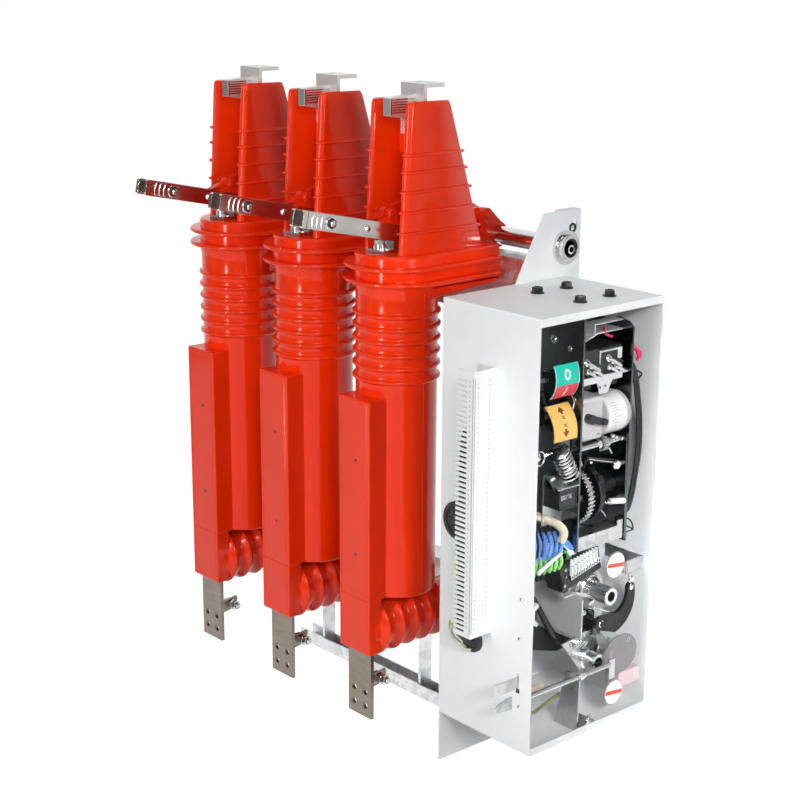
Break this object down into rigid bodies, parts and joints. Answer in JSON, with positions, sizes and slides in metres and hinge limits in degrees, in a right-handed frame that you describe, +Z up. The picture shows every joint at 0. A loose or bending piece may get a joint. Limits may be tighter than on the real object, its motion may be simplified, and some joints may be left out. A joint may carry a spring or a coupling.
{
  "type": "vacuum circuit breaker",
  "caption": "Side-mounted indoor vacuum circuit breaker: ribbed cast poles with knife isolators on top, linked to one shaft, and an open-fronted spring mechanism box.",
  "frame": {"origin": "contact face of the white mounting plate, on the line of its fixing holes, at the plate's mid height", "axes": "+X along the pole row towards the mechanism box, +Y to the back, +Z up"},
  "size_m": [0.875, 0.4455, 1.1],
  "materials": {
    "epoxy_red": "gloss cast resin",
    "plated_copper": "nickel-plated copper, satin",
    "chromed_steel": "bright",
    "galvanised": "zinc-plated sheet",
    "white_paint": "powder coat",
    "black_plastic": "moulded",
    "grey_enamel": "satin enamel",
    "flag_print": "printed foil",
    "yellow_print": "printed foil",
    "black_steel": "blackened",
    "disc_print": "printed",
    "smoke_plastic": "smoke-tinted",
    "pink_plastic": "moulded",
    "white_plastic": "satin"
  },
  "bodies": {
    "frame": {"auxiliary_switch": "black_plastic", "blade_base_a": "plated_copper", "blade_base_b": "plated_copper", "blade_base_c": "plated_copper", "bottom_channel": "galvanised", "cam_disc": "black_steel", "charge_flag": "yellow_print", "charging_gear": "galvanised", "charging_lever": "black_plastic", "charging_motor": "grey_enamel", "counter": "black_plastic", "counter_bracket": "galvanised", "cross_channel": "galvanised", "disc_bracket": "galvanised", "frame_leg_far": "galvanised", "frame_leg_near": "galvanised", "frame_post": "galvanised", "glands": "black_plastic", "guard_disc": "smoke_plastic", "guide_plate": "galvanised", "housing": "white_paint", "indicator_discs": "disc_print", "insulator_rail": "galvanised", "interlock_lever": "black_steel", "interlock_plate": "galvanised", "interlock_rod": "chromed_steel", "lock_block": "pink_plastic", "lower_terminal_a": "plated_copper", "lower_terminal_b": "plated_copper", "lower_terminal_c": "plated_copper", "mechanism_plate_left": "galvanised", "mechanism_plate_right": "galvanised", "mounting_plate": "white_paint", "operating_sockets": "chromed_steel", "pole_a": "epoxy_red", "pole_b": "epoxy_red", "pole_c": "epoxy_red", "position_flag": "flag_print", "ratchet_shaft": "galvanised", "relay_bracket": "galvanised", "relays": "black_plastic", "shaft_bearing": "chromed_steel", "socket_plate": "galvanised", "springs": "black_steel", "stand_bracket": "galvanised", "top_contact_a": "plated_copper", "top_contact_b": "plated_copper", "top_contact_c": "plated_copper", "upper_beam": "galvanised", "wire_duct": "white_plastic"},
    "shaft": {"crank_a": "epoxy_red", "crank_b": "epoxy_red", "crank_c": "epoxy_red", "isolator_shaft": "chromed_steel"},
    "blade_a": {"blade_a": "plated_copper"},
    "link_a": {"drive_link_a": "epoxy_red"},
    "blade_b": {"blade_b": "plated_copper"},
    "link_b": {"drive_link_b": "epoxy_red"},
    "blade_c": {"blade_c": "plated_copper"},
    "link_c": {"drive_link_c": "epoxy_red"}
  },
  "joints": [
    {"name": "shaft_turn", "type": "hinge", "parent": "frame", "child": "shaft", "pos_m": [-0.3, -0.022, 0.421], "axis": [-1, 0, 0], "range_deg": [0, 77.6]},
    {"name": "blade_a_turn", "type": "hinge", "parent": "frame", "child": "blade_a", "pos_m": [-0.585, -0.222, 0.443], "axis": [-1, 0, 0], "range_deg": [0, 77.6]},
    {"name": "link_a_turn", "type": "hinge", "parent": "shaft", "child": "link_a", "pos_m": [-0.585, -0.04549, 0.45582], "axis": [1, 0, 0], "range_deg": [0, 77.6]},
    {"name": "blade_b_turn", "type": "hinge", "parent": "frame", "child": "blade_b", "pos_m": [-0.375, -0.222, 0.443], "axis": [-1, 0, 0], "range_deg": [0, 77.6]},
    {"name": "link_b_turn", "type": "hinge", "parent": "shaft", "child": "link_b", "pos_m": [-0.375, -0.04549, 0.45582], "axis": [1, 0, 0], "range_deg": [0, 77.6]},
    {"name": "blade_c_turn", "type": "hinge", "parent": "frame", "child": "blade_c", "pos_m": [-0.165, -0.222, 0.443], "axis": [-1, 0, 0], "range_deg": [0, 77.6]},
    {"name": "link_c_turn", "type": "hinge", "parent": "shaft", "child": "link_c", "pos_m": [-0.165, -0.04549, 0.45582], "axis": [1, 0, 0], "range_deg": [0, 77.6]}
  ],
  "couplings": [
    {"joint": "blade_a_turn", "follows": "shaft_turn", "ratio": 1},
    {"joint": "link_a_turn", "follows": "shaft_turn", "ratio": 1},
    {"joint": "blade_b_turn", "follows": "shaft_turn", "ratio": 1},
    {"joint": "link_b_turn", "follows": "shaft_turn", "ratio": 1},
    {"joint": "blade_c_turn", "follows": "shaft_turn", "ratio": 1},
    {"joint": "link_c_turn", "follows": "shaft_turn", "ratio": 1}
  ]
}
